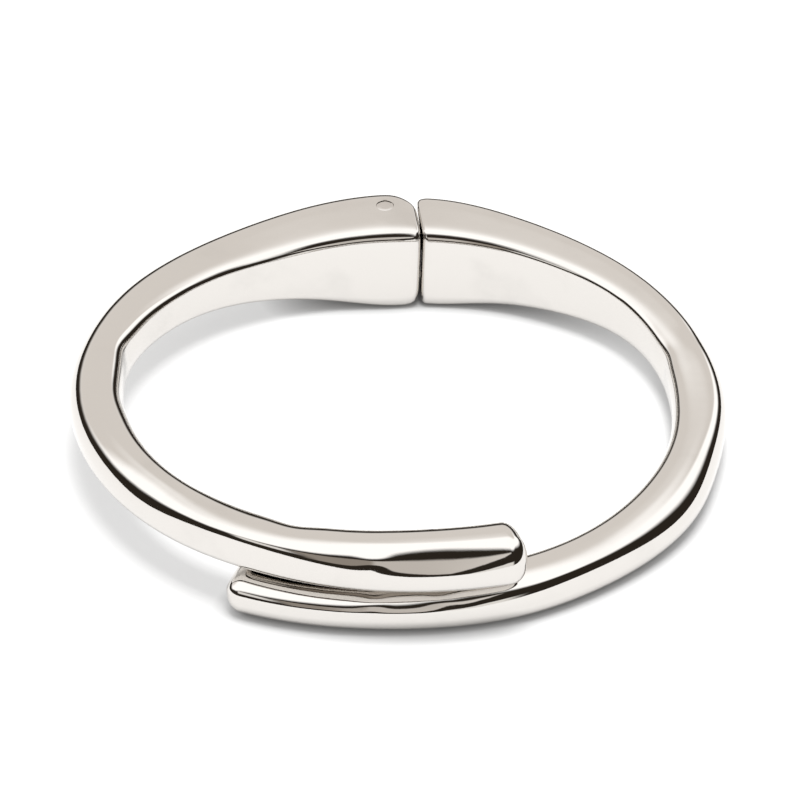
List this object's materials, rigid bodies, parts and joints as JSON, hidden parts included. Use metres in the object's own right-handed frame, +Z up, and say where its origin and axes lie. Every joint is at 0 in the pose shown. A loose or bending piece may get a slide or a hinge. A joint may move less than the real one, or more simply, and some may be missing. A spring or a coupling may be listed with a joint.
{
  "type": "bangle bracelet",
  "caption": "Hinged bypass bangle: two polished cast arms on a sprung knuckle hinge, with blunt free ends that overlap one above the other opposite it.",
  "frame": {"origin": "bottom centre of the bounding box, on the surface the bangle lies on", "axes": "+X across the wrist towards the arm that carries the hinge tongue, +Y towards the hinge, +Z up along the wearer's forearm"},
  "size_m": [0.0679, 0.0643, 0.0107],
  "materials": {
    "polished_silver": "polished",
    "hinge_steel": "satin",
    "pin_metal": "polished",
    "washer_brass": "satin",
    "spring_steel": "satin"
  },
  "bodies": {
    "left": {"left_arm": "polished_silver", "hinge_pin": "pin_metal", "closing_spring": "spring_steel"},
    "right": {"right_arm": "polished_silver", "hinge_tongue": "hinge_steel", "tongue_dowels": "hinge_steel", "thrust_washer": "washer_brass"}
  },
  "joints": [
    {"name": "arm_hinge", "type": "hinge", "parent": "left", "child": "right", "pos_m": [-0.00152, 0.0286, 0.005], "axis": [0, 0, 1], "range_deg": [0, 62], "stiffness_Nm_per_rad": 0.02, "springref_deg": -57.3, "deforming": ["closing_spring"]}
  ]
}
